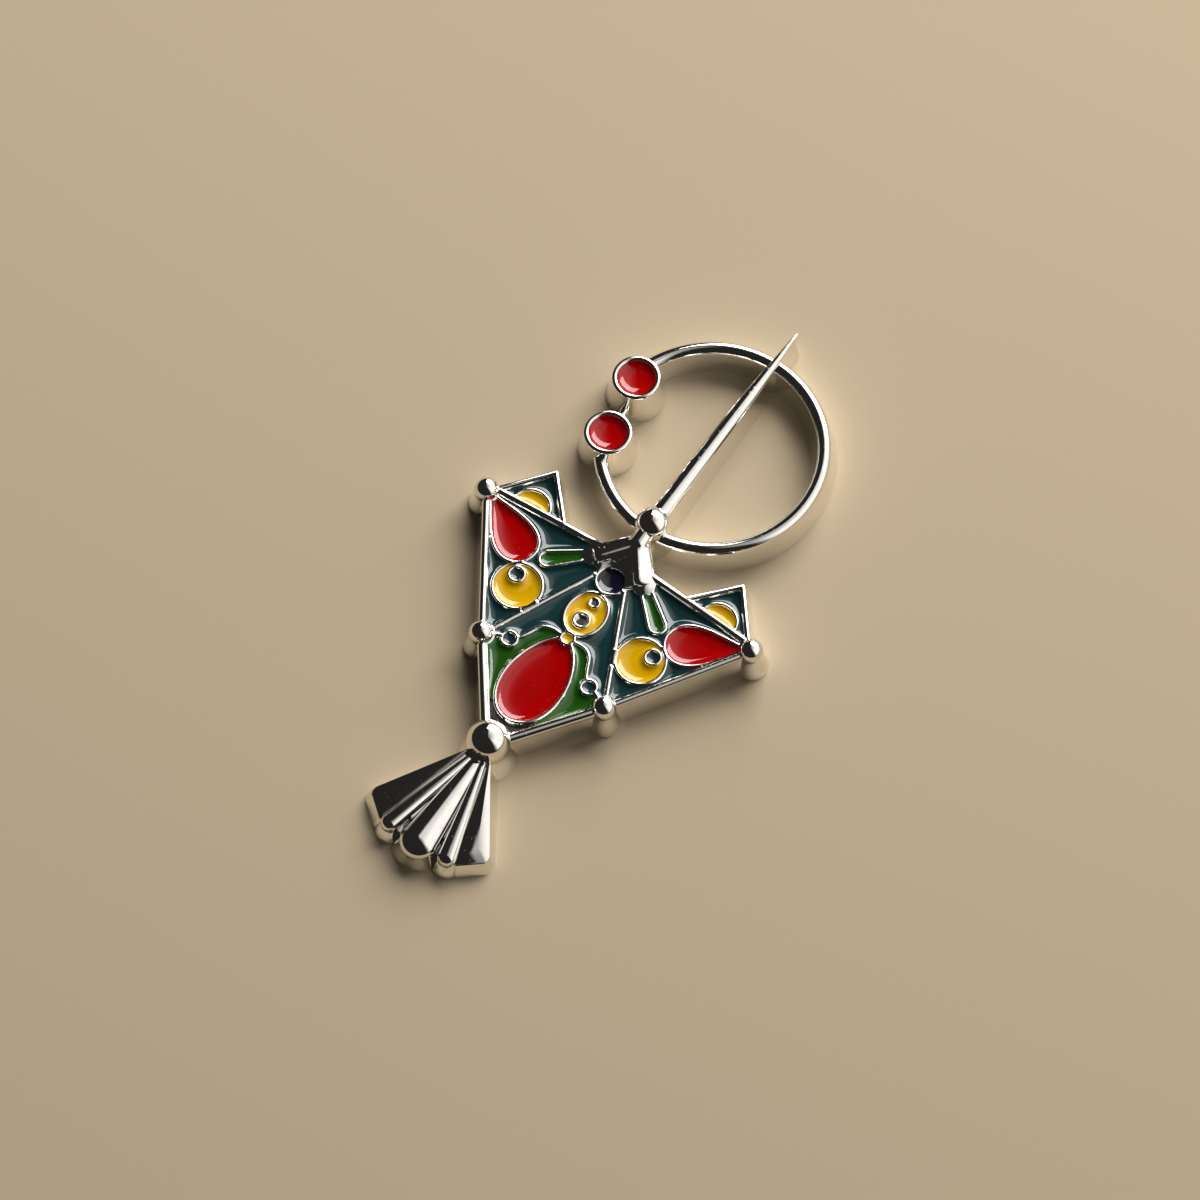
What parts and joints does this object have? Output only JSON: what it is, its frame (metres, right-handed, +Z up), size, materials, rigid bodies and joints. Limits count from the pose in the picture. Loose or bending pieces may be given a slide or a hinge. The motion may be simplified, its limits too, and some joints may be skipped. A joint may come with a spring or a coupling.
{
  "type": "brooch",
  "caption": "Small triangular folk-style fibula brooch: mirror-polished cast metal with a fixed open ring and needle, soft enamel cells, a fan tassel and a plain back pin.",
  "frame": {"origin": "under the middle of the outline, on the plane that the flat back lies on", "axes": "+Y along the needle towards its tip, +Z up out of the enamelled face, +X to the right seen from the front with the needle up"},
  "size_m": [0.0206, 0.0404, 0.003],
  "materials": {
    "cast_metal": "mirror polished rhodium-like plating",
    "pin_steel": "bright plated steel, plain",
    "red_enamel": "glossy soft enamel, dished",
    "yellow_enamel": "glossy soft enamel, dished",
    "green_enamel": "glossy soft enamel, dished",
    "navy_enamel": "glossy soft enamel, dished",
    "teal_enamel": "glossy soft enamel, dished"
  },
  "bodies": {
    "root": {"cast_body": "cast_metal", "back_pin": "pin_steel", "red_centre_drop": "red_enamel", "red_wing_drop_left": "red_enamel", "red_wing_drop_right": "red_enamel", "red_upper_terminal": "red_enamel", "red_lower_terminal": "red_enamel", "yellow_oval": "yellow_enamel", "yellow_small_dot": "yellow_enamel", "yellow_wing_disc_left": "yellow_enamel", "yellow_wing_disc_right": "yellow_enamel", "yellow_tab_disc_left": "yellow_enamel", "yellow_tab_disc_right": "yellow_enamel", "green_wing_drop_left": "green_enamel", "green_wing_drop_right": "green_enamel", "green_leaf_left": "green_enamel", "green_leaf_right": "green_enamel", "dark_dot": "navy_enamel", "teal_tab_left": "teal_enamel", "teal_tab_right": "teal_enamel", "teal_wing_side_left": "teal_enamel", "teal_wing_side_right": "teal_enamel", "teal_wing_top_left": "teal_enamel", "teal_wing_top_right": "teal_enamel", "teal_wing_low_left": "teal_enamel", "teal_wing_low_right": "teal_enamel", "teal_centre_left": "teal_enamel", "teal_centre_right": "teal_enamel", "teal_wing_ring_left": "teal_enamel", "teal_wing_ring_right": "teal_enamel", "teal_leaf_ring_left": "teal_enamel", "teal_leaf_ring_right": "teal_enamel"}
  },
  "joints": []
}
